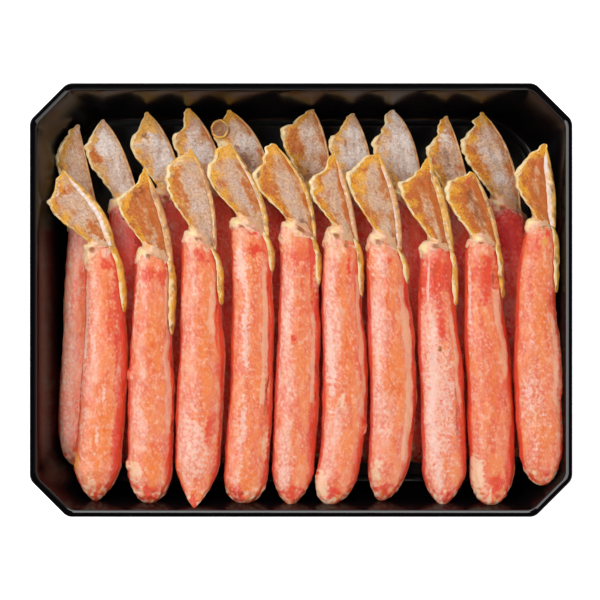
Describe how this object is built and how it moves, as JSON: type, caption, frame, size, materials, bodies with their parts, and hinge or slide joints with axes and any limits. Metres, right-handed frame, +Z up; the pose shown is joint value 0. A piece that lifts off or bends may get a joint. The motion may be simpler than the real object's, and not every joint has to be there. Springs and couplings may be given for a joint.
{
  "type": "tray of crab leg portions",
  "caption": "Black food tray with cut corners holding layered, peeled snow crab leg portions, each a bar of red and white meat with its joint shell left on as a handle.",
  "frame": {"origin": "middle of the tray's underside", "axes": "+X along the tray to the right, +Y towards the back wall that the shells point to, +Z up"},
  "size_m": [0.2104, 0.1682, 0.0317],
  "materials": {
    "tray_plastic": "smooth black sheet plastic, satin on the rim and glossy on the walls",
    "upper_meat": "moist salmon-orange crab meat with red edges and fine pale frost",
    "lower_meat": "moist red crab meat",
    "joint_shell": "thin orange-yellow shell with a cream lining",
    "joint_flesh": "translucent grey-pink flesh with frost"
  },
  "bodies": {
    "root": {"tray": "tray_plastic", "lower_01_meat": "lower_meat", "lower_01_shell": "joint_shell", "lower_02_meat": "lower_meat", "lower_02_shell": "joint_shell", "lower_03_meat": "lower_meat", "lower_03_shell": "joint_shell", "lower_04_meat": "lower_meat", "lower_04_shell": "joint_shell", "lower_05_meat": "lower_meat", "lower_05_shell": "joint_shell", "lower_06_meat": "lower_meat", "lower_06_shell": "joint_shell", "lower_07_meat": "lower_meat", "lower_07_shell": "joint_shell", "lower_08_meat": "lower_meat", "lower_08_shell": "joint_shell", "lower_09_meat": "lower_meat", "lower_09_shell": "joint_shell", "lower_10_meat": "lower_meat", "lower_10_shell": "joint_shell", "upper_01_meat": "upper_meat", "upper_01_shell": "joint_shell", "upper_01_flesh": "joint_flesh", "upper_02_meat": "upper_meat", "upper_02_shell": "joint_shell", "upper_02_flesh": "joint_flesh", "upper_03_meat": "upper_meat", "upper_03_shell": "joint_shell", "upper_03_flesh": "joint_flesh", "upper_04_meat": "upper_meat", "upper_04_shell": "joint_shell", "upper_04_flesh": "joint_flesh", "upper_05_meat": "upper_meat", "upper_05_shell": "joint_shell", "upper_05_flesh": "joint_flesh", "upper_06_meat": "upper_meat", "upper_06_shell": "joint_shell", "upper_06_flesh": "joint_flesh", "upper_07_meat": "upper_meat", "upper_07_shell": "joint_shell", "upper_07_flesh": "joint_flesh", "upper_08_meat": "upper_meat", "upper_08_shell": "joint_shell", "upper_08_flesh": "joint_flesh", "upper_09_meat": "upper_meat", "upper_09_shell": "joint_shell", "upper_09_flesh": "joint_flesh", "upper_10_meat": "upper_meat", "upper_10_shell": "joint_shell", "upper_10_flesh": "joint_flesh"}
  },
  "joints": []
}
